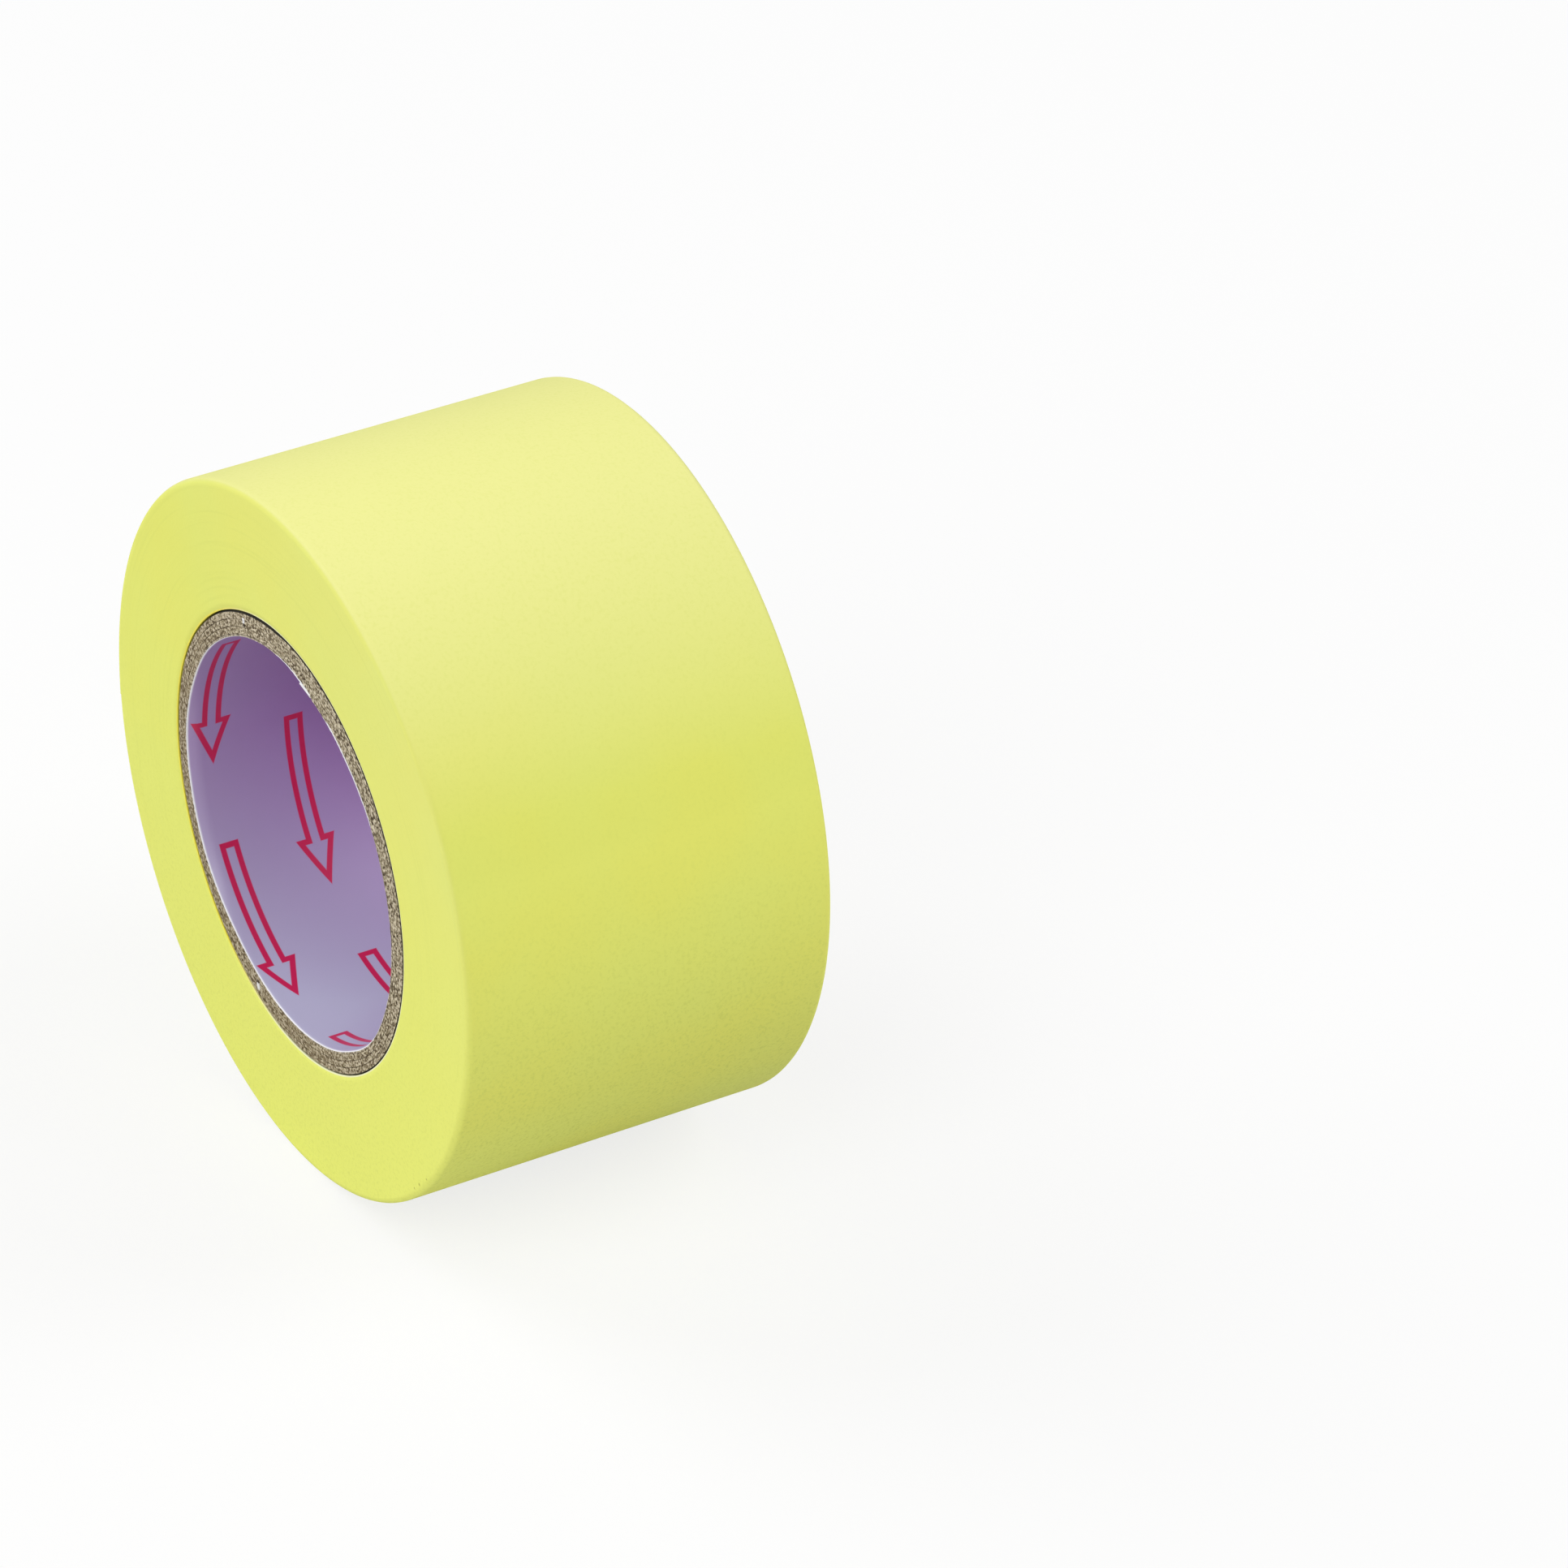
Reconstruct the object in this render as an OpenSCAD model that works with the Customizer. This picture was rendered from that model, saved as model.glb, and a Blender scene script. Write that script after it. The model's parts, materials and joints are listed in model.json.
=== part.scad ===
// A small roll of paper masking tape: one long strip wound on a board core.
// The roll stands on its rim. Y runs along the core's axis, Z is up, and the origin is the centre of the bore.

/* [Tape] */
// Width of the tape, and so of the roll
tape_w = 25; // [12:1:50]
// Thickness of the tape, its paper and its adhesive together
tape_t = 0.1; // [0.06:0.01:0.3]
// Outer diameter of the roll at the line where the tape end lifts
roll_d = 46; // [36:1:60]
// Rounding that the slitting knife leaves on the roll's two outer edges
rim_r = 0.4; // [0.35:0.05:1]

/* [Tape end] */
// Length of the tape end that is free to lift
end_l = 14; // [6:1:30]
// Place of the line where it lifts, anticlockwise from the right as the front face is seen
peel_at = 150; // [95:5:200]

/* [Core] */
// Diameter of the bore, inside the liner
bore_d = 26.3; // [20:0.1:28]
// Thickness of the white liner paper
liner_t = 0.2; // [0.1:0.05:0.3]
// Thickness of each of the three plies of board
ply_t = 0.47; // [0.3:0.01:0.8]
// How far the core's two cut ends lie below the edges of the tape
core_inset = 0.05; // [0:0.05:1]

/* [Hidden] */
$fn = 180;

bore_r = bore_d / 2;
liner_r = bore_r + liner_t;
inner_ply_r = liner_r + ply_t;
middle_ply_r = inner_ply_r + ply_t;
core_r = middle_ply_r + ply_t;
core_l = tape_w - 2 * core_inset;

roll_r = roll_d / 2;
// Radius of the turn that lies under the tape end
under_r = roll_r - tape_t;
end_angle = end_l / roll_r * 180 / PI;

// Turns a shape that was made around Z so that its axis lies along Y, with the same front view
module lay_along_y() rotate([90, 0, 0]) children();

// One layer of the core, from its inside radius to its outside radius
module core_layer(r_in, r_out) lay_along_y() difference() {
    cylinder(r = r_out, h = core_l, center = true);
    cylinder(r = r_in, h = 2 * core_l, center = true);
}

// Half of the section through a wound roll, from its axis to radius r, with rounded outer corners
module roll_section(r) {
    translate([0, -tape_w / 2]) square([r - rim_r, tape_w]);
    translate([0, -tape_w / 2 + rim_r]) square([r, tape_w - 2 * rim_r]);
    for (side = [-1, 1]) translate([r - rim_r, side * (tape_w / 2 - rim_r)]) circle(r = rim_r);
}

module core_liner() color([0.86, 0.86, 0.9]) core_layer(bore_r, liner_r);

module core_inner_ply() color([0.66, 0.6, 0.5]) core_layer(liner_r, inner_ply_r);

module core_middle_ply() color([0.7, 0.64, 0.54]) core_layer(inner_ply_r, middle_ply_r);

module core_outer_ply() color([0.66, 0.6, 0.5]) core_layer(middle_ply_r, core_r);

// All the wound tape. Its outline is the last turn of a spiral, which grows by one thickness to a step at the
// peel line. It is drawn as two half rolls, and their centres lie half a thickness apart.
module tape_winding() color([0.88, 0.91, 0.45]) lay_along_y() rotate(peel_at) difference() {
    union() {
        rotate_extrude(angle = 180) roll_section(under_r);
        translate([tape_t / 2, 0, 0]) rotate(180) rotate_extrude(angle = 180) roll_section(under_r + tape_t / 2);
    }
    cylinder(r = core_r, h = 2 * tape_w, center = true);
}

// The last stretch of the same tape, from the peel line to its cut end. It lies on the turn below.
module tape_end() color([0.9, 0.93, 0.5]) lay_along_y() rotate(peel_at) rotate_extrude(angle = end_angle)
    intersection() {
        roll_section(roll_r);
        translate([under_r, -tape_w / 2]) square([tape_t, tape_w]);
    }

core_liner();
core_inner_ply();
core_middle_ply();
core_outer_ply();
tape_winding();
tape_end();
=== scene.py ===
import json
import math

import bpy
from mathutils import Matrix, Vector, noise
from mathutils.bvhtree import BVHTree
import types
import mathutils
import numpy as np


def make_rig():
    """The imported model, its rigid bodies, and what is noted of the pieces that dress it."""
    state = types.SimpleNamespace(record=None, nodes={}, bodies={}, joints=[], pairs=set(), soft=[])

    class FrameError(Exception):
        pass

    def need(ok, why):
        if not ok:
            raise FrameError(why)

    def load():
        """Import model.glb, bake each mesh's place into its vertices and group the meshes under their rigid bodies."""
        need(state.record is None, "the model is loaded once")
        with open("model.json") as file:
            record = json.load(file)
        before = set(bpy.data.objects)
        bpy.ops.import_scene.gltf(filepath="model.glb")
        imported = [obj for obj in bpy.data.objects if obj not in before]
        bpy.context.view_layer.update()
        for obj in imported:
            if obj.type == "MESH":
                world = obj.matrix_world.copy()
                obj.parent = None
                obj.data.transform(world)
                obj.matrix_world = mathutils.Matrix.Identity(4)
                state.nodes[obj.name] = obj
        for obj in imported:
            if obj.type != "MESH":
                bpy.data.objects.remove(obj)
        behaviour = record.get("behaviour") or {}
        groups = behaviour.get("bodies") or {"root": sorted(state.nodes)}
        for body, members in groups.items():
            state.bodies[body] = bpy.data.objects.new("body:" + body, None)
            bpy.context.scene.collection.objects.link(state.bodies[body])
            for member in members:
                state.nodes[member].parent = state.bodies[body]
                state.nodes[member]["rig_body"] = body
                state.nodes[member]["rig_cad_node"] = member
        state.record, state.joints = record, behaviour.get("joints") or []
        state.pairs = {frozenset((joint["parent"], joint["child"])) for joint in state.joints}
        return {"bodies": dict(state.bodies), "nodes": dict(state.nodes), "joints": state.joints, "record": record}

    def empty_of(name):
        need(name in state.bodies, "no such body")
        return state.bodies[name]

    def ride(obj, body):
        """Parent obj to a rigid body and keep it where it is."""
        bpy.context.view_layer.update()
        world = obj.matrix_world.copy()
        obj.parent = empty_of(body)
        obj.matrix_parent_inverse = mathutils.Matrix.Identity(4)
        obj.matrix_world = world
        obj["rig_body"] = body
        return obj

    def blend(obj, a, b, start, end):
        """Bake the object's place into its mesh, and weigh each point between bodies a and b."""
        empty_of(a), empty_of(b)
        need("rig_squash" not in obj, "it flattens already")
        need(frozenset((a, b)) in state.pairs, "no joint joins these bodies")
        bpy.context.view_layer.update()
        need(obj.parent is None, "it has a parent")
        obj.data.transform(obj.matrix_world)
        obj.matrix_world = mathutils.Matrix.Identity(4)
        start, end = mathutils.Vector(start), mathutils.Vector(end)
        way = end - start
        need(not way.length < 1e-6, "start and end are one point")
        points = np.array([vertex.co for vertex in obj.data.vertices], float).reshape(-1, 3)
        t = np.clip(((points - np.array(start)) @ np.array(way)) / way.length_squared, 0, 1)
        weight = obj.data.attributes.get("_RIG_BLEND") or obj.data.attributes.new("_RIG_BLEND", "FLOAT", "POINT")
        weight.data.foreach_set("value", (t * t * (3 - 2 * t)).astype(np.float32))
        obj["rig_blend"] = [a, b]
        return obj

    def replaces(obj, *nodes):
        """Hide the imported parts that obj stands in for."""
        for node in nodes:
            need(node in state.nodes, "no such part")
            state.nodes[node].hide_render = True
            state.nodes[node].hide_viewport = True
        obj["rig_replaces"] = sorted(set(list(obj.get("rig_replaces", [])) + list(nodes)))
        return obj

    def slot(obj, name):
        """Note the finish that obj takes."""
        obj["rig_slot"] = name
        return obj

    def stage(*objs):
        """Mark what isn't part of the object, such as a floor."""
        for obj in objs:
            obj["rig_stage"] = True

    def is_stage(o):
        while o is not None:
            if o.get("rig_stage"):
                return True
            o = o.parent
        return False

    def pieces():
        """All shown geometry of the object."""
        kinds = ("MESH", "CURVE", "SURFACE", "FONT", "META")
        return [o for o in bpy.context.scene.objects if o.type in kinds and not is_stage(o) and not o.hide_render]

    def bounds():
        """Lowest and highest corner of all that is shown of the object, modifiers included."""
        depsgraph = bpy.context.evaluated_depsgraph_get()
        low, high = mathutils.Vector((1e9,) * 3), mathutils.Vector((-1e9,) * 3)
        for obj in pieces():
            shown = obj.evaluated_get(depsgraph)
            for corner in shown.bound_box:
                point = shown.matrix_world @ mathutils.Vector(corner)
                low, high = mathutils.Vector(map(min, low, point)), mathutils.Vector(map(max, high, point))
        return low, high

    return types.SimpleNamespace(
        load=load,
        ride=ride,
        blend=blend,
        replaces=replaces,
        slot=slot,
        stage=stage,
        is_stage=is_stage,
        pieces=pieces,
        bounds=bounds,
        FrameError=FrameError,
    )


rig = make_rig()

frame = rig.load()
cad_low, cad_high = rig.bounds()
bpy.ops.object.select_all(action="DESELECT")

MM = 0.001

# ---------------------------------------------------------------------------------------------
# The camera, at the photograph's place. It looks past the roll's right side, because the photograph
# shows a second roll there. The image points are where the photograph shows each thing, in a frame of
# 1568 by 1568, and the last lines of this script measure how far from them each thing has come.
W, H = 1568, 1568
POINTS = {
    "left_edge": (120.1, None),
    "right_edge": (829.8, None),
    "top_edge": (None, 378.4),
    "bottom_edge": (None, 1201.2),
    "core_left": (179.7, 700.0),
    "core_right": (404.1, 967.3),
    "core_top": (230.4, 609.5),
    "core_bottom": (351.5, 1075.7),
    "bore_left": (185.2, 736.4),
    "bore_right": (391.4, 959.5),
    "bore_top": (236.9, 636.2),
    "bore_bottom": (345.6, 1052.2),
    "upper_chip": (243.9, 622.5),
    "lower_chip": (258.7, 984.7),
    "edge_burr": (305.4, 690.4),
    "upper_nick": (426.4, 1179.4),
    "middle_nick": (419.3, 1184.6),
    "lower_nick": (414.4, 1188.1),
}
AZIMUTH, ELEVATION = math.radians(59.6), math.radians(32.05)
DISTANCE = 539.2 * MM
AIM = Vector((9.73, 16.86, 0.23)) * MM
LENS = 201.3

backwards = Vector((
    math.sin(AZIMUTH) * math.cos(ELEVATION),
    -math.cos(AZIMUTH) * math.cos(ELEVATION),
    math.sin(ELEVATION),
))
bpy.ops.object.camera_add(
    location=AIM + DISTANCE * backwards,
    rotation=(-backwards).to_track_quat("-Z", "Y").to_euler(),
)
camera = bpy.context.object
camera.data.sensor_fit = "AUTO"
camera.data.lens = LENS
camera.data.clip_start = 0.01
bpy.context.scene.camera = camera
bpy.context.view_layer.update()


def seen_at(place):
    """Where the camera shows a place, in the frame of the image points."""
    near = camera.matrix_world.inverted() @ place
    scale = max(W, H) * camera.data.lens / camera.data.sensor_width / -near.z
    return W / 2 + near.x * scale, H / 2 - near.y * scale


# ---------------------------------------------------------------------------------------------
# The room: a pale floor under an even sky, and three soft lamps at one height: on the left, in front,
# and on the right behind the roll. To the camera alone, the sky is bright and the floor glows a little,
# so that the ground is white as in the photograph and still shows the roll's shadow.
bpy.context.scene.view_settings.view_transform = "Standard"

FLOOR_SIZE = 6.0
FLOOR_COLOUR = (0.74, 0.74, 0.74, 1)
FLOOR_GLOW, GLOW_STRENGTH = 0.75, 1.06
SKY_WHITE = 0.98
SKY_ON_ROLL = 0.28
LAMPS = {
    "left_lamp": {"azimuth": -150, "elevation": 40, "size": 0.7, "power": 4.5},
    "front_lamp": {"azimuth": -60, "elevation": 40, "size": 0.7, "power": 4.05},
    "right_lamp": {"azimuth": 60, "elevation": 40, "size": 0.7, "power": 4.3},
}


class Value:
    """One output of a shader node. A sum on it adds Math nodes to its own material."""

    def __init__(self, finish, socket):
        self.finish, self.socket = finish, socket

    def math(self, operation, *values):
        return self.finish.node("ShaderNodeMath", {"operation": operation}, *values)

    def __add__(self, other):
        return self.math("ADD", self, other)

    def __sub__(self, other):
        return self.math("SUBTRACT", self, other)

    def __rsub__(self, other):
        return self.math("SUBTRACT", other, self)

    def __mul__(self, other):
        return self.math("MULTIPLY", self, other)

    def __truediv__(self, other):
        return self.math("DIVIDE", self, other)

    def __rtruediv__(self, other):
        return self.math("DIVIDE", other, self)

    def __pow__(self, other):
        return self.math("POWER", self, other)

    def __abs__(self):
        return self.math("ABSOLUTE", self)

    __radd__, __rmul__ = __add__, __mul__


class Finish:
    """A material's or the world's node tree, with one method that adds any node to it."""

    def __init__(self, tree):
        self.tree = tree
        tree.nodes.clear()

    def node(self, kind, settings=None, *values, out=None, **named):
        """A node of this kind: its settings, then its inputs' values or links, in order or by name."""
        node = self.tree.nodes.new(kind)
        for name, setting in (settings or {}).items():
            setattr(node, name, setting)
        inputs = [socket for socket in node.inputs if socket.enabled]
        pairs = list(zip(inputs, values))
        for name, value in named.items():
            pairs.append((next(i for i in inputs if i.name == name.replace("_", " ")), value))
        for socket, value in pairs:
            if isinstance(value, Value):
                self.tree.links.new(value.socket, socket)
            elif value is not None:
                socket.default_value = value
        outputs = [socket for socket in node.outputs if socket.enabled]
        return Value(self, next(o for o in outputs if out in (None, o.name))) if outputs else node


bpy.ops.mesh.primitive_plane_add(size=FLOOR_SIZE, location=(0, 0, cad_low.z))
floor = bpy.context.object
floor.name = "floor"
floor.data.materials.append(bpy.data.materials.new("pale_floor"))
floor.data.materials[0].use_nodes = True
ground = Finish(floor.data.materials[0].node_tree)
to_camera = ground.node("ShaderNodeLightPath", out="Is Camera Ray")
matt = ground.node("ShaderNodeBsdfDiffuse", Color=FLOOR_COLOUR)
white = ground.node("ShaderNodeEmission", Strength=GLOW_STRENGTH)
shown = ground.node("ShaderNodeMixShader", None, to_camera * FLOOR_GLOW, matt, white)
ground.node("ShaderNodeOutputMaterial", Surface=shown)
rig.stage(floor)

world = bpy.data.worlds.new("even_sky")
world.use_nodes = True
bpy.context.scene.world = world
sky = Finish(world.node_tree)
strength = sky.node("ShaderNodeLightPath", out="Is Camera Ray") * (SKY_WHITE - SKY_ON_ROLL) + SKY_ON_ROLL
even = sky.node("ShaderNodeBackground", Color=(1, 1, 1, 1), Strength=strength)
sky.node("ShaderNodeOutputWorld", Surface=even)

for name, lamp in LAMPS.items():
    turn, rise = math.radians(lamp["azimuth"]), math.radians(lamp["elevation"])
    place = Vector((math.cos(turn) * math.cos(rise), math.sin(turn) * math.cos(rise), math.sin(rise)))
    bpy.ops.object.light_add(
        type="AREA", location=place, rotation=place.to_track_quat("Z", "Y").to_euler()
    )
    light = bpy.context.object
    light.name = name
    light.data.shape = "DISK"
    light.data.size = lamp["size"]
    light.data.energy = lamp["power"]

# ---------------------------------------------------------------------------------------------
# The boards of the core: three plies of grey-brown recycled board, wound one over the other and
# glued. The knife that cuts the core to length leaves their ends rough and speckled, crushes the
# mouth of the bore outwards on one side, and opens a fine slit between the core and the tape.
RING_STEPS = 480
BOARD_END_CUTS = 5
BOARD_ROUNDING = 0.05 * MM
KNIFE_LOOPS = (0.15 * MM, 0.35 * MM, 0.6 * MM, 0.9 * MM)
KNIFE_DEPTH = 0.9 * MM
CUT_ROUGHNESS = 0.04 * MM
FIBRE_SIZE = 0.13 * MM
MOUTH_OUT = {
    0: 0.04, 30: -0.08, 55: -0.32, 72: -0.42, 90: -0.18, 120: -0.15, 150: 0.04,
    180: 0.40, 210: 0.42, 240: 0.02, 270: 0.02, 300: 0.04, 318: 0.24, 340: 0.10,
}
SLIT = {
    0: 0.03, 40: 0.03, 84: 0.05, 93: 0.16, 106: 0.15, 120: 0.12, 140: 0.14, 180: 0.24,
    215: 0.26, 240: 0.20, 270: 0.13, 300: 0.08, 330: 0.04,
}
FAR_END_TURN = math.radians(130)
# Corners nearer than this to a plane or a radius lie on it, and corners nearer than half of it merge.
TOLERANCE = 0.001 * MM


def wall(node):
    """The inner radius, outer radius and half length of a CAD node round the Y axis."""
    corners = [v.co for v in frame["nodes"][node].data.vertices]
    reach = [math.hypot(c.x, c.z) for c in corners]
    return min(reach), max(reach), max(c.y for c in corners)


bore_radius = wall("core_liner")[0]
core_radius, roll_radius, tape_half = wall("tape_winding")
core_half = wall("core_outer_ply")[2]


def section(name, inner, outer, half_length):
    """A rectangle on the XY plane, from one radius to the other. It is left selected in edit mode."""
    bpy.ops.object.select_all(action="DESELECT")
    bpy.ops.mesh.primitive_plane_add(size=1, location=((inner + outer) / 2, 0, 0))
    piece = bpy.context.object
    piece.name = name
    piece.scale = (outer - inner, 2 * half_length, 1)
    bpy.ops.object.transform_apply(location=True, rotation=False, scale=True)
    bpy.ops.object.mode_set(mode="EDIT")
    bpy.ops.mesh.select_all(action="SELECT")
    return piece


def choose(piece, kind, test):
    """Selects the corners, or the edges, whose middle passes the test, and nothing else."""
    bpy.ops.object.mode_set(mode="OBJECT")
    mesh = piece.data
    parts = {"corners": mesh.vertices, "edges": mesh.edges, "faces": mesh.polygons}
    bpy.context.tool_settings.mesh_select_mode = [kind == name for name in parts]
    for items in parts.values():
        items.foreach_set("select", [False] * len(items))
    for item in parts[kind]:
        ends = [item.index] if kind == "corners" else item.vertices
        item.select = test(sum((mesh.vertices[i].co for i in ends), Vector()) / len(ends))
    bpy.ops.object.mode_set(mode="EDIT")


def sweep(angle, steps, closed):
    """Spins the section anticlockwise as the near face is seen. The tool turns left round its axis."""
    bpy.ops.mesh.select_all(action="SELECT")
    bpy.ops.mesh.spin(steps=steps, angle=angle, center=(0, 0, 0), axis=(0, 1, 0), use_auto_merge=closed)


def close(piece, smooth_below=math.radians(40)):
    """Merges doubles, closes the mesh, points its faces outwards and shades it smooth."""
    bpy.ops.mesh.select_all(action="SELECT")
    bpy.ops.mesh.remove_doubles(threshold=0.5 * TOLERANCE)
    bpy.ops.mesh.fill_holes(sides=0)
    bpy.ops.mesh.normals_make_consistent(inside=False)
    bpy.ops.object.mode_set(mode="OBJECT")
    bpy.ops.object.select_all(action="DESELECT")
    piece.select_set(True)
    bpy.context.view_layer.objects.active = piece
    bpy.ops.object.shade_smooth_by_angle(angle=smooth_below)


def around(table, angle):
    """The value at an angle, smoothly between the rows of a table of degrees round the core."""
    degrees = math.degrees(angle) % 360
    last = max(row for row in table if row <= degrees)
    following = min((row for row in table if row > degrees), default=360)
    share = (degrees - last) / (following - last)
    share = share * share * (3 - 2 * share)
    return table[last] * (1 - share) + table[following % 360] * share


def note(piece, name, values):
    """Stores one number for each corner, which the piece's material can read."""
    piece.data.attributes.new(name, "FLOAT", "POINT").data.foreach_set("value", values)


def cut_ends(piece):
    """Shapes a core layer's two ends as the knife leaves them, and notes each corner's own radius."""
    radii = [math.hypot(v.co.x, v.co.z) for v in piece.data.vertices]
    note(piece, "layer", radii)
    for vertex, radius in zip(piece.data.vertices, radii):
        c = vertex.co
        depth = core_half - abs(c.y)
        angle = math.atan2(c.z, c.x) + (FAR_END_TURN if c.y > 0 else 0)
        inner_share = (core_radius - radius) / (core_radius - bore_radius)
        push = around(MOUTH_OUT, angle) * inner_share - around(SLIT, angle) * (1 - inner_share)
        scale = 1 + push * MM * max(0.0, 1 - depth / KNIFE_DEPTH) ** 2 / radius
        if depth < BOARD_ROUNDING:
            c.y += math.copysign(noise.noise(c / FIBRE_SIZE) * CUT_ROUGHNESS, c.y)
        c.x, c.z = c.x * scale, c.z * scale


def core_layer(name, node, inner_rounding, outer_rounding, rounding_cuts, end_cuts):
    """One layer of the core: a rounded section, cut closely near its ends, and swept round."""
    inner, outer, half = wall(node)
    piece = section(name, inner, outer, half)
    bpy.ops.mesh.delete(type="ONLY_FACE")
    for rounding, radius in ((inner_rounding, inner), (outer_rounding, outer)):
        if rounding:
            choose(piece, "corners", lambda c: abs(c.x - radius) < TOLERANCE)
            bpy.ops.mesh.bevel(affect="VERTICES", offset=rounding, segments=rounding_cuts)
    choose(piece, "edges", lambda c: abs(c.y) > half - TOLERANCE)
    bpy.ops.mesh.subdivide(number_cuts=end_cuts)
    for depth in KNIFE_LOOPS:
        for side in (-1, 1):
            bpy.ops.mesh.select_all(action="SELECT")
            bpy.ops.mesh.bisect(plane_co=(0, side * (half - depth), 0), plane_no=(0, 1, 0))
    sweep(2 * math.pi, RING_STEPS, closed=True)
    close(piece)
    cut_ends(piece)
    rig.ride(piece, "roll")
    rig.replaces(piece, node)
    return piece


def seen(red, green, blue):
    """The linear colour of a screen colour in steps of 255."""
    steps = (c / 255 for c in (red, green, blue))
    return tuple(((c + 0.055) / 1.055) ** 2.4 if c > 0.04045 else c / 12.92 for c in steps)


class Surface(Finish):
    """A piece's finish: a Principled shader, and the places on the piece that its patterns follow."""

    def __init__(self, name, roughness, **constants):
        self.material = bpy.data.materials.new(name)
        self.material.use_nodes = True
        super().__init__(self.material.node_tree)
        shader = self.node("ShaderNodeBsdfPrincipled", None, Roughness=roughness, **constants)
        self.node("ShaderNodeOutputMaterial", Surface=shader)
        self.sockets = shader.socket.node.inputs
        self.place = self.node("ShaderNodeTexCoord", out="Object")
        split = self.node("ShaderNodeSeparateXYZ", None, self.place).socket.node.outputs
        self.x, self.y, self.z = (Value(self, split[axis]) for axis in "XYZ")

    def drive(self, name, value):
        """Links a value that changes over the surface to one of the shader's sockets."""
        self.tree.links.new(value.socket, self.sockets[name])

    def mix(self, share, first, second):
        """The first colour, turned into the second by a share from 0 to 1."""
        first, second = ((*c, 1) if isinstance(c, tuple) else c for c in (first, second))
        return self.node("ShaderNodeMix", {"data_type": "RGBA"}, Factor=share, A=first, B=second)

    def cloud(self, size, detail=2.0, roughness=0.5):
        """Soft noise from 0 to 1 with blobs of about this size in metres."""
        return self.node(
            "ShaderNodeTexNoise", None, Vector=self.place,
            Scale=0.5 / size, Detail=detail, Roughness=roughness,
        )

    def reach(self):
        """The distance from the Y axis."""
        return (self.x * self.x + self.z * self.z) ** 0.5

    def arcs(self, spacing, turn):
        """Noise drawn out round the Y axis: arcs this far apart, and longer the smaller turn is."""
        reach = self.reach()
        across, up = self.x / reach * turn, self.z / reach * turn
        place = self.node("ShaderNodeCombineXYZ", None, across, up, reach * (0.5 / spacing))
        return self.node("ShaderNodeTexNoise", None, Vector=place, Scale=1.0, Detail=2.0)

    def ramp(self, value, low, high):
        """0 up to low, 1 from high on, and even between them. High may be the smaller."""
        return self.node("ShaderNodeMapRange", None, value, low, high, 0.0, 1.0)

    def stored(self, name):
        """The number that the piece stores for each corner under this name."""
        return self.node("ShaderNodeAttribute", {"attribute_name": name}, out="Fac")

    def bump(self, height, depth, strength):
        """Relief of this depth in metres from a height of 0 to 1."""
        normal = self.node("ShaderNodeBump", None, Strength=strength, Distance=depth, Height=height)
        self.drive("Normal", normal)


BOARD_PALE = seen(226, 214, 188)
BOARD_MIDDLE = seen(160, 146, 116)
BOARD_DARK = seen(66, 50, 30)
BOARD_REFLECTED_SHADE = seen(122, 97, 54)
BOARD_GLUE = seen(92, 74, 46)
BOARD_SLIT_SHADE = seen(26, 20, 10)
SPECK_WIDTH, SPECKS_ROUND = 0.078 * MM, 67
PALE_RANGE, DARK_RANGE = (0.49, 0.60), (0.49, 0.38)
BLOTCH_SIZE = 0.5 * MM
BOARD_DEPTH = 0.08 * MM
GLUE_LINE = 0.05 * MM

first_ply, first_glue_line = wall("core_inner_ply")[:2]
ply = first_glue_line - first_ply


def board_tone(surface):
    """The colour and relief of cut board: pale and dark fibres, lines of glue, painted shade on the outer wall in the
    slit to the tape, and painted shade and reflection of the tape towards the lower left.
    """
    fibres = surface.arcs(SPECK_WIDTH, SPECKS_ROUND)
    blotches = surface.cloud(BLOTCH_SIZE, detail=3)
    tone = surface.mix(surface.ramp(fibres, *PALE_RANGE), BOARD_MIDDLE, BOARD_PALE)
    tone = surface.mix(surface.ramp(fibres, *DARK_RANGE), tone, BOARD_DARK)
    tone = surface.mix(surface.ramp(blotches, 0.45, 0.7) * 0.35, tone, BOARD_MIDDLE)
    # Painted shade and painted reflection of the yellow tape: the cut board turns darker and warmer towards the lower
    # left.
    painted_lower_left_shade = surface.ramp(surface.x + surface.z, core_radius, -core_radius)
    tone = surface.mix(painted_lower_left_shade * 0.3, tone, BOARD_REFLECTED_SHADE)
    plies = (surface.stored("layer") - first_ply) / ply
    from_glue = abs(plies - plies.math("ROUND", plies)) * ply
    wavy = blotches * (0.5 * GLUE_LINE)
    glue = surface.ramp(from_glue + wavy, GLUE_LINE, 0.3 * GLUE_LINE)
    sheet = surface.ramp(ply / 2 - from_glue + wavy, GLUE_LINE, 0.3 * GLUE_LINE)
    lines = glue * 0.6 + sheet * 0.35
    # Painted shade: the board's outer wall, down in the slit between core and tape, is nearly black.
    on_outer_surface = surface.ramp(surface.stored("layer"), core_radius - GLUE_LINE, core_radius - 0.5 * GLUE_LINE)
    tone = surface.mix(lines, tone, BOARD_GLUE)
    return surface.mix(on_outer_surface, tone, BOARD_SLIT_SHADE), fibres - lines


board = Surface("core_board", 0.85)
board_colour, board_relief = board_tone(board)
board.drive("Base Color", board_colour)
board.bump(board_relief, BOARD_DEPTH, 0.6)
boards = {}
for name, node in (
    ("inner_board", "core_inner_ply"),
    ("middle_board", "core_middle_ply"),
    ("outer_board", "core_outer_ply"),
):
    boards[name] = core_layer(name, node, BOARD_ROUNDING, BOARD_ROUNDING, 2, BOARD_END_CUTS)
    boards[name].data.materials.append(board.material)
    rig.slot(boards[name], "core_board")

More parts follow.
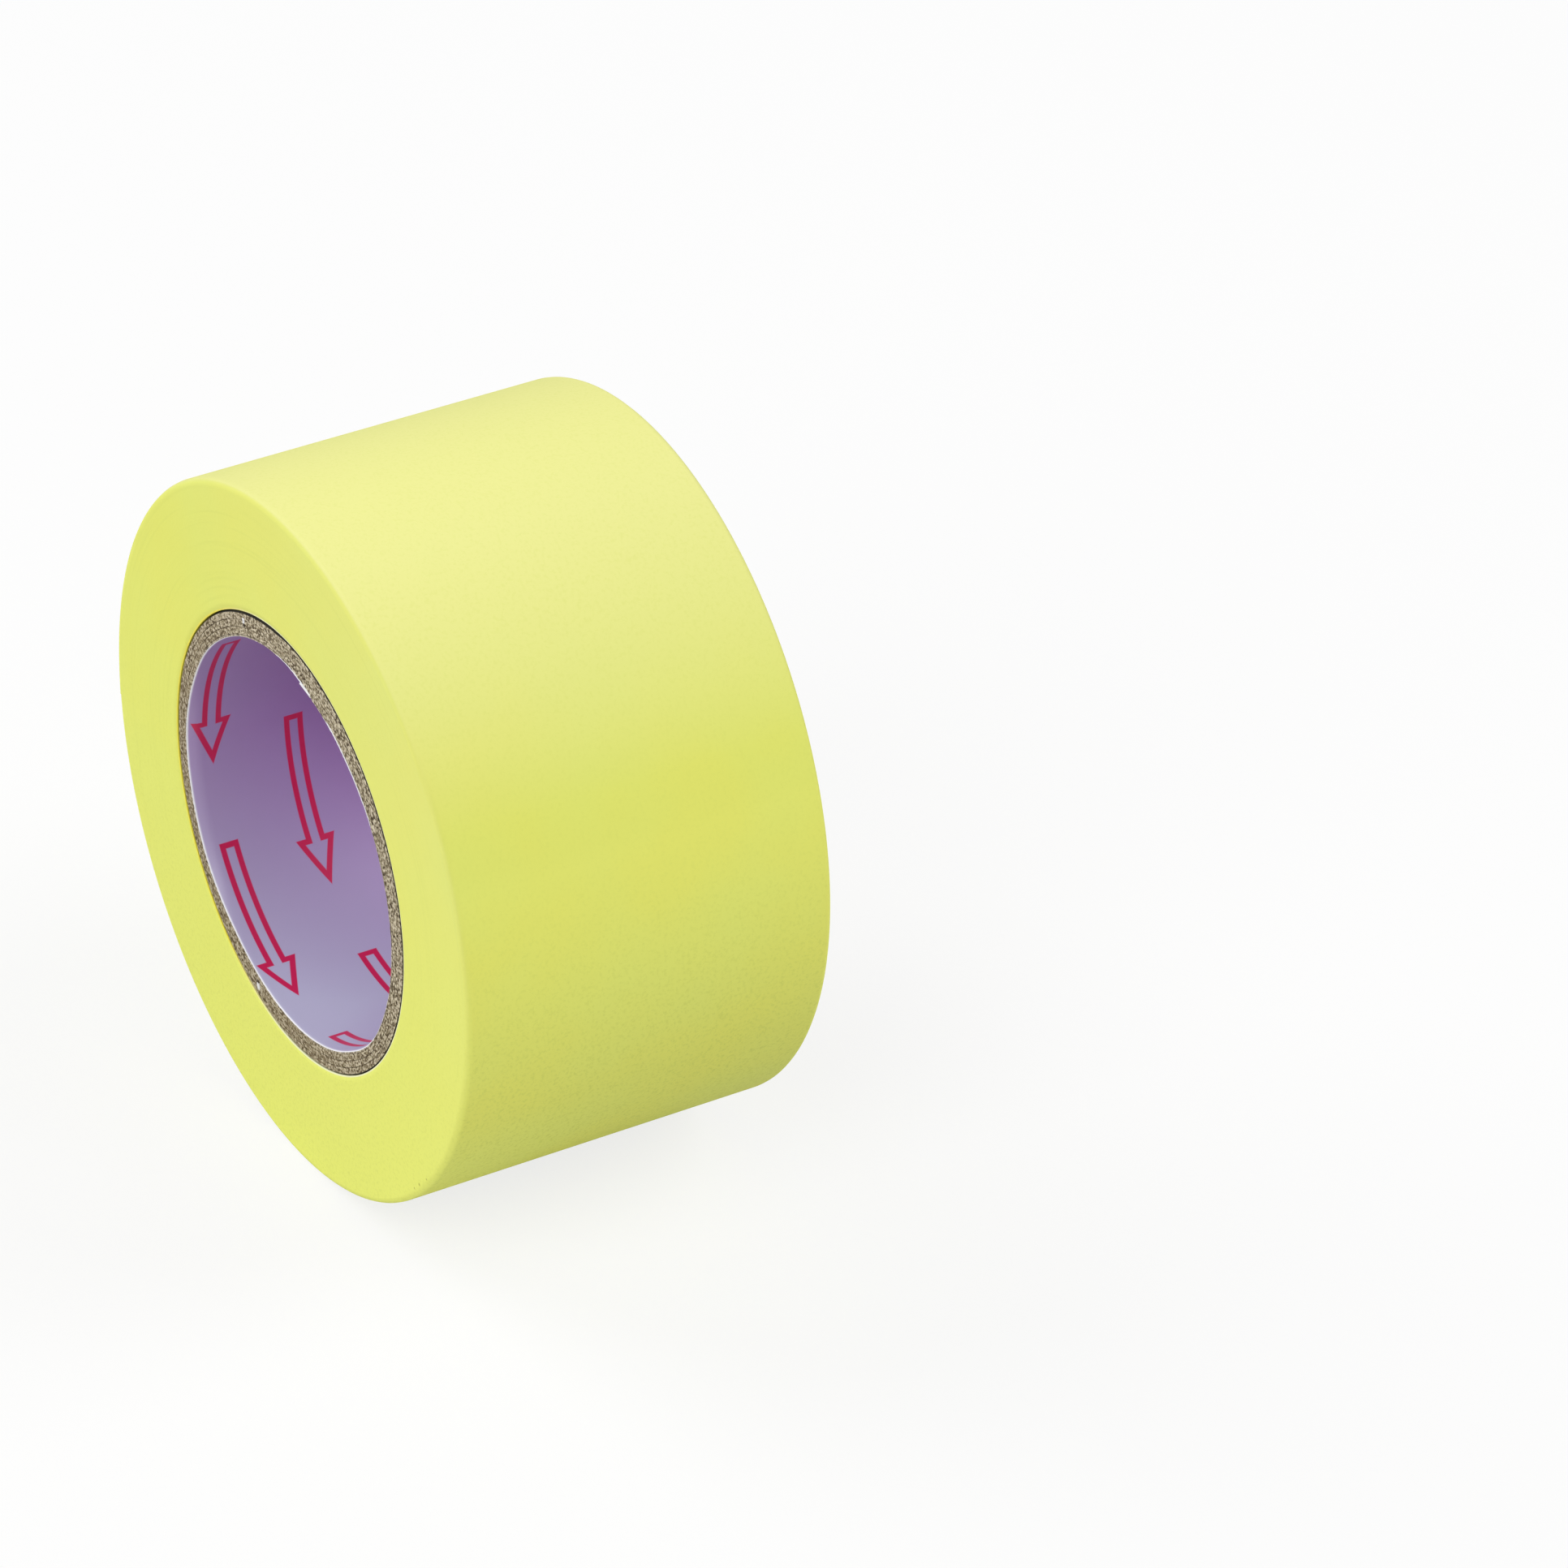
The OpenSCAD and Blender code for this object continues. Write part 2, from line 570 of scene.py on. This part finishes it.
# ---------------------------------------------------------------------------------------------
# The core's liner: a tube of smooth lavender-white coated paper, which a hub turns in. It is the
# first ply to be wound, and is cut with the boards. Its cut edge shows the brown body of the paper:
# its rounded inner corner is white, and some of the edge is at the upper right of the near end. Its
# print is plain crimson arrows, a generic design.
LINER_ROUNDING = 0.14 * MM
LINER_END_CUTS = 2
COAT = 0.08 * MM
WHITE_EDGE = {0: 0.0, 28: 0.0, 38: 1.0, 62: 1.0, 68: 0.0, 72: 0.0, 75: 1.2, 80: 0.9, 90: 0.6, 96: 0.0}
WHITE_REACH = 0.16 * MM
CORNER_FROM, CORNER_TO = 0.02 * MM, 0.03 * MM
LINER_GRAIN, LINER_DEPTH = 0.2 * MM, 0.03 * MM
LINER_COLOUR = seen(188, 188, 214)
LINER_SHADE = seen(162, 123, 182)
LINER_EDGE = seen(246, 246, 250)
BORE_SHADE_FROM = 15 * MM
INK = seen(204, 18, 80)
ARROWS_ROUND = 5
ARROW_ROWS = 5.7 * MM
FIRST_ROW = -10.9 * MM
FIRST_ARROW = math.radians(163)
ROW_STAGGER = 0.58
ARROW_LENGTH = 11.4 * MM
ARROW_STROKE = 0.38 * MM
HEAD_LENGTH, HEAD_HALF = 3.2 * MM, 1.35 * MM
SHAFT_HALF = 0.66 * MM
INK_SOFTNESS = 0.06 * MM
SEAM_HALF = 0.04 * MM
SEAM_ANGLE = math.radians(35)

liner = core_layer("liner", "core_liner", LINER_ROUNDING, 0, 4, LINER_END_CUTS)
note(liner, "white_edge", [
    around(WHITE_EDGE, math.atan2(v.co.z, v.co.x)) if v.co.y < 0 else 0.0 for v in liner.data.vertices
])
paper = Surface("liner_paper", 0.42)
angle = paper.node("ShaderNodeMath", {"operation": "ARCTAN2"}, paper.z, paper.x)
row = (paper.y - FIRST_ROW) / ARROW_ROWS
row_number = row.math("ROUND", row)
across = abs(row - row_number) * ARROW_ROWS
turns = (angle - FIRST_ARROW) * (ARROWS_ROUND / (2 * math.pi)) - row_number * ROW_STAGGER
repeat = 2 * math.pi * bore_radius / ARROWS_ROUND
along = (turns - turns.math("ROUND", turns)) * repeat
shaft_half_length = (ARROW_LENGTH - HEAD_LENGTH / 2) / 2
past_shaft = abs(along - (shaft_half_length - ARROW_LENGTH / 2)) - shaft_half_length
shaft = along.math("MAXIMUM", past_shaft, across - SHAFT_HALF)
lean = HEAD_HALF / HEAD_LENGTH
flank = (across - (ARROW_LENGTH / 2 - along) * lean) / math.hypot(1, lean)
head = along.math("MAXIMUM", flank, ARROW_LENGTH / 2 - HEAD_LENGTH - along)
outside = along.math("MINIMUM", shaft, head)
off_stroke = abs(outside + ARROW_STROKE / 2)
stroke = paper.ramp(off_stroke, (ARROW_STROKE + INK_SOFTNESS) / 2, (ARROW_STROKE - INK_SOFTNESS) / 2)
layer = paper.stored("layer")
ink = stroke * paper.ramp(layer, bore_radius + CORNER_TO, bore_radius + CORNER_FROM)
coat_reach = paper.stored("white_edge") * WHITE_REACH + COAT
coat = paper.ramp(layer - bore_radius - coat_reach, 0.0, -0.2 * COAT)
# Painted shade: the liner's coat turns darker and more violet higher up the bore and further in from its ends.
inwards = core_half - abs(paper.y)
painted_bore_shade = paper.ramp(paper.z, -bore_radius, 0.0) ** 0.5 * 0.85 + inwards / BORE_SHADE_FROM * 0.5
seam = paper.ramp(abs(angle - SEAM_ANGLE) * bore_radius, SEAM_HALF, 0.5 * SEAM_HALF)
coated = paper.mix(paper.ramp(painted_bore_shade, 0.15, 1.15), LINER_COLOUR, LINER_SHADE)
coated = paper.mix(seam * 0.5, coated, BOARD_MIDDLE)
coated = paper.mix(ink, coated, INK)
coated = paper.mix(paper.ramp(layer, bore_radius, bore_radius + CORNER_TO), coated, LINER_EDGE)
cut_edge = board_tone(paper)[0]
paper.drive("Base Color", paper.mix(coat, cut_edge, coated))
paper.bump(paper.cloud(LINER_GRAIN, detail=3) * 0.4 - seam, LINER_DEPTH, 0.4)
liner.data.materials.append(paper.material)
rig.slot(liner, "liner_paper")

# ---------------------------------------------------------------------------------------------
# Torn flecks of the liner's white paper, which the knife has left on the near end of the core.
# Each is a thin bent scrap, laid on the cut face where its image point falls. Part of the two on
# the boards is dark, from a given share of their length on, as painted shadow beside each fleck.
CHIPS = {
    "upper_chip": {"length": 0.56, "width": 0.24, "lean": 278, "brown": 0.15, "carrier": "middle_board"},
    "lower_chip": {"length": 0.66, "width": 0.32, "lean": 100, "brown": 0.20, "carrier": "middle_board"},
    "edge_burr": {"length": 1.40, "width": 0.06, "lean": 168, "brown": 1.00, "carrier": "liner"},
}
CHIP_THICKNESS = 0.08 * MM
CHIP_CUTS = 5
CHIP_CRUMPLE, CRUMPLE_SIZE = 0.05 * MM, 0.12 * MM
CHIP_GRAIN = 0.05 * MM
CHIP_PALE = seen(252, 251, 250)
CHIP_GREY = seen(230, 228, 230)


def surface_place(point, piece):
    """Where the ray through an image point meets a piece. A miss takes the place nearest the ray."""
    view, reach = camera.data, max(W, H)
    x, y = point
    ray = camera.matrix_world.to_3x3() @ Vector((
        x - W / 2 + view.shift_x * reach,
        H / 2 - y + view.shift_y * reach,
        -reach * view.lens / view.sensor_width,
    )).normalized()
    mesh = piece.data
    tree = BVHTree.FromPolygons([v.co for v in mesh.vertices], [p.vertices for p in mesh.polygons])
    eye = camera.matrix_world.translation
    place = tree.ray_cast(eye, ray)[0]
    if place is None:
        passing = eye + ray * (Vector((0, -core_half, 0)) - eye).dot(ray)
        place = tree.find_nearest(passing)[0]
    return place


scrap = Surface("torn_paper", 0.6)
fleck = scrap.mix(scrap.cloud(CHIP_GRAIN), CHIP_PALE, CHIP_GREY)
# Painted shadow: the dark end of each scrap takes the board's dark fibre colour.
scrap.drive("Base Color", scrap.mix(scrap.ramp(scrap.stored("brown"), 0.3, 0.6), fleck, BOARD_DARK))
added_places = {}
for name, shape in CHIPS.items():
    bpy.ops.object.select_all(action="DESELECT")
    bpy.ops.mesh.primitive_cube_add(size=1)
    chip = bpy.context.object
    chip.name = name
    chip.scale = (shape["length"] * MM, CHIP_THICKNESS, shape["width"] * MM)
    bpy.ops.object.transform_apply(location=False, rotation=False, scale=True)
    bpy.ops.object.mode_set(mode="EDIT")
    bpy.ops.mesh.select_all(action="SELECT")
    bpy.ops.mesh.subdivide(number_cuts=CHIP_CUTS)
    bpy.ops.object.mode_set(mode="OBJECT")
    shadow_from = shape["brown"] * shape["length"] * MM
    crumple = min(CHIP_CRUMPLE, 0.3 * shape["width"] * MM)
    note(chip, "brown", [float(v.co.x > shadow_from) for v in chip.data.vertices])
    for vertex in chip.data.vertices:
        vertex.co += noise.noise_vector(vertex.co / CRUMPLE_SIZE) * crumple
    added_places[name] = surface_place(POINTS[name], bpy.data.objects[shape["carrier"]])
    chip.data.transform(Matrix.Rotation(-math.radians(shape["lean"]), 4, "Y"))
    chip.data.transform(Matrix.Translation(added_places[name]))
    bpy.ops.object.shade_smooth()
    chip.data.materials.append(scrap.material)
    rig.ride(chip, "roll")
    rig.slot(chip, "liner_paper")

# ---------------------------------------------------------------------------------------------
# The wound tape: one strip of fluorescent lemon paper, thinly coated with adhesive, in a long spiral
# from the core outwards. Each face of the roll is the cut edges of its turns, a little uneven, and
# the slitting knife has pressed its outer and inner corners round. Three small dark spots lie low on
# the near face. The last turn ends in a step.
WINDING_STEPS = 256
RIM = 0.4 * MM
RIM_CUTS = 5
TURN_GROOVE = 0.003 * MM
TURN_SWAY = 0.007 * MM
SLOW_SWAY, QUICK_SWAY = 0.23, 1.7
LIP_DEPTH, LIP_WIDTH = 0.08 * MM, 0.35 * MM
SHEEN_FROM, SHEEN_TO = 11 * MM, 22 * MM
FACE_SHEEN = 0.22

under_radius = wall("tape_end")[0]
tape = wall("tape_end")[1] - under_radius
peel = next(j for j in frame["joints"] if j["name"] == "tape_end_peel")
peel_place = Vector(peel["pos_m"])
peel_angle = math.atan2(peel_place.z, peel_place.x)
wound_turns = round((under_radius - RIM - core_radius) / tape)
growth = (under_radius - RIM - core_radius) / wound_turns


def sway(turns_wound):
    """How far a turn's edge stands out of the roll's face, after so many turns of tape."""
    slow = noise.noise(Vector((turns_wound * SLOW_SWAY, 3.1, 0.0)))
    quick = noise.noise(Vector((turns_wound * QUICK_SWAY, 8.7, 0.0)))
    return (slow * 0.75 + quick * 0.25) * TURN_SWAY


def wind(piece):
    """Moves each corner out by its share of one tape thickness for the angle that it has turned."""
    half_step = 0.5 / WINDING_STEPS
    for vertex in piece.data.vertices:
        c = vertex.co
        radius = math.hypot(c.x, c.z)
        layers = (radius - core_radius) / growth
        share = (math.atan2(c.z, c.x) / (2 * math.pi) + half_step) % 1 - half_step
        share = 1.0 if vertex.select else max(0.0, share)
        if abs(c.y) > tape_half - TOLERANCE:
            groove = TURN_GROOVE * (0.5 + 0.5 * math.cos(2 * math.pi * layers))
            lip = LIP_DEPTH * max(0.0, 1 - (radius - core_radius) / LIP_WIDTH) ** 2
            c.y += math.copysign(1.0, c.y) * (sway(layers + share) - groove - lip)
        if layers > 0.1:
            radius += growth * share
        c.x, c.z = radius * math.cos(2 * math.pi * share), radius * math.sin(2 * math.pi * share)


def paint_sheen(piece):
    """Notes how much painted sheen each corner takes: most the top of the skin, a little the near face."""
    faded = []
    for vertex in piece.data.vertices:
        c = vertex.co
        on_outer_surface = (math.hypot(c.x, c.z) - under_radius) / (0.25 * RIM) + 1
        top = (c.z - SHEEN_FROM) / (SHEEN_TO - SHEEN_FROM)
        face = (c.x + c.z) / roll_radius * FACE_SHEEN if c.y < 0 else 0.0
        on_outer_surface, top, face = (min(1.0, max(0.0, share)) for share in (on_outer_surface, top, face))
        faded.append(on_outer_surface * top + (1 - on_outer_surface) * face)
    note(piece, "faded", faded)


winding = section("winding", core_radius, under_radius, tape_half)
bpy.ops.mesh.delete(type="ONLY_FACE")
choose(winding, "corners", lambda c: c.x > under_radius - TOLERANCE)
bpy.ops.mesh.bevel(affect="VERTICES", offset=RIM, segments=RIM_CUTS)
choose(winding, "edges", lambda c: abs(c.y) > tape_half - TOLERANCE)
bpy.ops.mesh.subdivide(number_cuts=wound_turns - 1)
bpy.ops.mesh.subdivide(number_cuts=1)
sweep(2 * math.pi, WINDING_STEPS, closed=False)
bpy.ops.object.mode_set(mode="OBJECT")
wind(winding)
winding.data.transform(Matrix.Rotation(-peel_angle, 4, "Y"))
bpy.ops.object.mode_set(mode="EDIT")
close(winding)
paint_sheen(winding)
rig.ride(winding, "roll")
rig.replaces(winding, "tape_winding")
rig.slot(winding, "tape_paper")

TAPE_COLOUR = seen(234, 240, 117)
TAPE_WARM = seen(237, 239, 111)
TAPE_SHEEN = seen(241, 241, 152)
TAPE_FIBRE = seen(217, 224, 100)
TAPE_PAINTED_LIGHT = seen(244, 249, 122)
TAPE_LIP_GLOW = seen(255, 240, 84)
TAPE_LIP_HIGHLIGHT = seen(253, 252, 205)
TAPE_DARK_SPOT = seen(166, 162, 40)
LIP_LIGHT_WIDTH = 0.12 * MM
DARK_SPOT_REACH = {"upper_nick": 0.10 * MM, "middle_nick": 0.13 * MM, "lower_nick": 0.09 * MM}
GRAIN_SIZE, GRAIN_DEPTH = 0.12 * MM, 0.03 * MM
DRIFT_SIZE = 5 * MM
ARC_SPACING = 0.15 * MM
ARC_TURN = 1.6

tape_paper = Surface("tape_paper", 0.62, Specular_IOR_Level=0.3)
grain = tape_paper.cloud(GRAIN_SIZE, detail=3, roughness=0.65)
drift = tape_paper.cloud(DRIFT_SIZE)
arcs = tape_paper.arcs(ARC_SPACING, ARC_TURN)
tone = tape_paper.mix(tape_paper.ramp(drift, 0.35, 0.65), TAPE_COLOUR, TAPE_WARM)
tone = tape_paper.mix(tape_paper.ramp(arcs, 0.55, 0.75) * 0.25, tone, TAPE_FIBRE)
# Painted sheen: the top of the roll, and the near face towards its upper right, are paler.
tone = tape_paper.mix(tape_paper.stored("faded"), tone, TAPE_SHEEN)
on_face = tape_paper.ramp(abs(tape_paper.y), tape_half - RIM, tape_half - 0.5 * RIM)
# Painted light: the lower part of the roll's faces is lighter.
low_down = tape_paper.ramp(tape_paper.z, 0.6 * roll_radius, -roll_radius)
tone = tape_paper.mix(on_face * low_down, tone, TAPE_PAINTED_LIGHT)
# Darker fibre grain, weaker on the faces and stronger towards the bottom: real grain, with painted shade in its rise
# towards the bottom.
grain_and_low_shade = tape_paper.ramp(tape_paper.z, 0.3 * roll_radius, -0.6 * roll_radius) * 0.6 + 0.15
grain_and_low_shade = grain_and_low_shade * (1 - on_face * 0.6)
tone = tape_paper.mix(tape_paper.ramp(grain, 0.5, 0.66) * grain_and_low_shade, tone, TAPE_FIBRE)
# Painted highlight and painted reflection: the tape's inner edge by the core is near white, and golden towards the
# left.
from_core = tape_paper.reach() - core_radius
glow_side = tape_paper.ramp(tape_paper.x, -0.1 * core_radius, -0.6 * core_radius)
painted_lip_light = tape_paper.mix(glow_side, TAPE_LIP_HIGHLIGHT, TAPE_LIP_GLOW)
tone = tape_paper.mix(tape_paper.ramp(from_core, LIP_LIGHT_WIDTH, 0.4 * LIP_LIGHT_WIDTH), tone, painted_lip_light)
# Three small dark spots low on the near face, at their image points.
for name, reach in DARK_SPOT_REACH.items():
    added_places[name] = surface_place(POINTS[name], winding)
    away = tape_paper.node(
        "ShaderNodeVectorMath", {"operation": "DISTANCE"}, tape_paper.place, added_places[name]
    )
    tone = tape_paper.mix(tape_paper.ramp(away, reach, 0.3 * reach) * 0.7, tone, TAPE_DARK_SPOT)
tape_paper.drive("Base Color", tone)
tape_paper.bump(grain, GRAIN_DEPTH, 0.5)
winding.data.materials.append(tape_paper.material)

# ---------------------------------------------------------------------------------------------
# The free end of the same strip. It lies on the turn below and is pressed over the rims. A dispenser's
# toothed blade has cut it, so its edge is a row of small teeth that stand a little off the roll. It
# peels at the step, and its underside is the slightly glossier adhesive.
END_STEPS = 96
TEETH = 20
TOOTH_DEPTH = 0.5 * MM
EDGE_REACH = 0.26 * MM
CURL_LENGTH = 3 * MM
CURL_LIFT = 0.06 * MM
BEND_LENGTH = 5 * MM
ADHESIVE_COLOUR = seen(226, 228, 120)
ADHESIVE_PATCH = 0.6 * MM
ADHESIVE_GRAIN, ADHESIVE_DEPTH = 0.25 * MM, 0.02 * MM

free_edge = min((v.co for v in frame["nodes"]["tape_end"].data.vertices), key=lambda c: c.z)
end_turn = math.atan2(free_edge.z, free_edge.x) % (2 * math.pi) - peel_angle
end_length = end_turn * roll_radius

tape_end = section("tape_strip_end", under_radius, under_radius + tape, tape_half)
choose(tape_end, "edges", lambda c: abs(c.y) < tape_half / 2)
bpy.ops.mesh.subdivide(number_cuts=2 * TEETH - 1)
for side in (-1, 1):
    bpy.ops.mesh.select_all(action="SELECT")
    bpy.ops.mesh.bisect(plane_co=(0, side * (tape_half - RIM), 0), plane_no=(0, 1, 0))
sweep(end_turn, END_STEPS, closed=False)
edge_drop = RIM - math.sqrt(RIM ** 2 - EDGE_REACH ** 2)
bpy.ops.object.mode_set(mode="OBJECT")
for vertex in tape_end.data.vertices:
    c = vertex.co
    radius = math.hypot(c.x, c.z)
    turned = max(0.0, math.atan2(c.z, c.x))
    tooth = abs((c.y / (2 * tape_half) * TEETH) % 1 - 0.5) * 2
    if abs(c.y) > tape_half - TOLERANCE:
        c.y -= math.copysign(RIM - EDGE_REACH, c.y)
        radius -= edge_drop
    near_edge = max(0.0, 1 - (end_turn - turned) * roll_radius / CURL_LENGTH)
    radius += growth * turned / (2 * math.pi) + CURL_LIFT * near_edge ** 2
    turned *= 1 - TOOTH_DEPTH * tooth / end_length
    c.x, c.z = radius * math.cos(turned), radius * math.sin(turned)
tape_end.data.transform(Matrix.Rotation(-peel_angle, 4, "Y"))
bpy.ops.object.mode_set(mode="EDIT")
close(tape_end)
paint_sheen(tape_end)
adhesive = Surface("adhesive_side", 0.3)
sticky = adhesive.cloud(ADHESIVE_PATCH, detail=4)
adhesive.drive("Base Color", adhesive.mix(sticky, ADHESIVE_COLOUR, TAPE_FIBRE))
adhesive.drive("Roughness", sticky * 0.25 + 0.2)
adhesive.bump(adhesive.cloud(ADHESIVE_GRAIN, detail=3), ADHESIVE_DEPTH, 0.6)
tape_end.data.materials.append(tape_paper.material)
tape_end.data.materials.append(adhesive.material)
for face in tape_end.data.polygons:
    outwards = Vector((face.center.x, 0, face.center.z)).normalized()
    face.material_index = int(face.normal.dot(outwards) < -0.7)
half_bend = BEND_LENGTH / 2 / roll_radius
bend_start = Matrix.Rotation(half_bend, 4, "Y") @ peel_place
bend_end = Matrix.Rotation(-half_bend, 4, "Y") @ peel_place
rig.blend(tape_end, "roll", "free_end", start=bend_start, end=bend_end)
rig.replaces(tape_end, "tape_end")
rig.slot(tape_end, "tape_paper")

# ---------------------------------------------------------------------------------------------
# How far each thing shows from its image point, and the dressed roll's box next to the CAD model's.
# The core's edge is the outer corner of its near end, and the bore's is where the white coat ends.
END_BAND, SKIN_BAND, COAT_BAND = 0.1 * MM, 0.2 * MM, 0.01 * MM


def extremes(name, corners):
    """Where the leftmost, rightmost, highest and lowest of these corners show."""
    spots = [seen_at(c) for c in corners]
    sides = {"left": (min, 0), "right": (max, 0), "top": (min, 1), "bottom": (max, 1)}
    return {
        name + "_" + side: pick(spots, key=lambda p: p[axis])
        for side, (pick, axis) in sides.items()
    }


board_edge = [
    v.co for v in boards["outer_board"].data.vertices
    if v.co.y < -core_half + END_BAND and math.hypot(v.co.x, v.co.z) > core_radius - SKIN_BAND
]
coat_edge = [
    v.co for v, ring in zip(liner.data.vertices, liner.data.attributes["layer"].data)
    if v.co.y < -core_half + LINER_ROUNDING and abs(ring.value - bore_radius - COAT) < COAT_BAND
]
shown = extremes("core", board_edge) | extremes("bore", coat_edge)
outline = extremes("roll", [v.co for piece in (winding, tape_end) for v in piece.data.vertices])
for side, axis in (("left", 0), ("right", 0), ("top", 1), ("bottom", 1)):
    spot = outline["roll_" + side]
    shown[side + "_edge"] = [spot[i] if i == axis else None for i in (0, 1)]
for name, place in added_places.items():
    shown[name] = seen_at(place)
offsets = {
    name: [None if want is None else round(got - want, 1) for got, want in zip(shown[name], point)]
    for name, point in POINTS.items()
}
low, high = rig.bounds()
box = {"cad": [list(cad_low), list(cad_high)], "dressed": [list(low), list(high)]}
for path, facts in (("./points.json", offsets), ("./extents.json", box)):
    with open(path, "w") as file:
        json.dump(facts, file, indent=1)
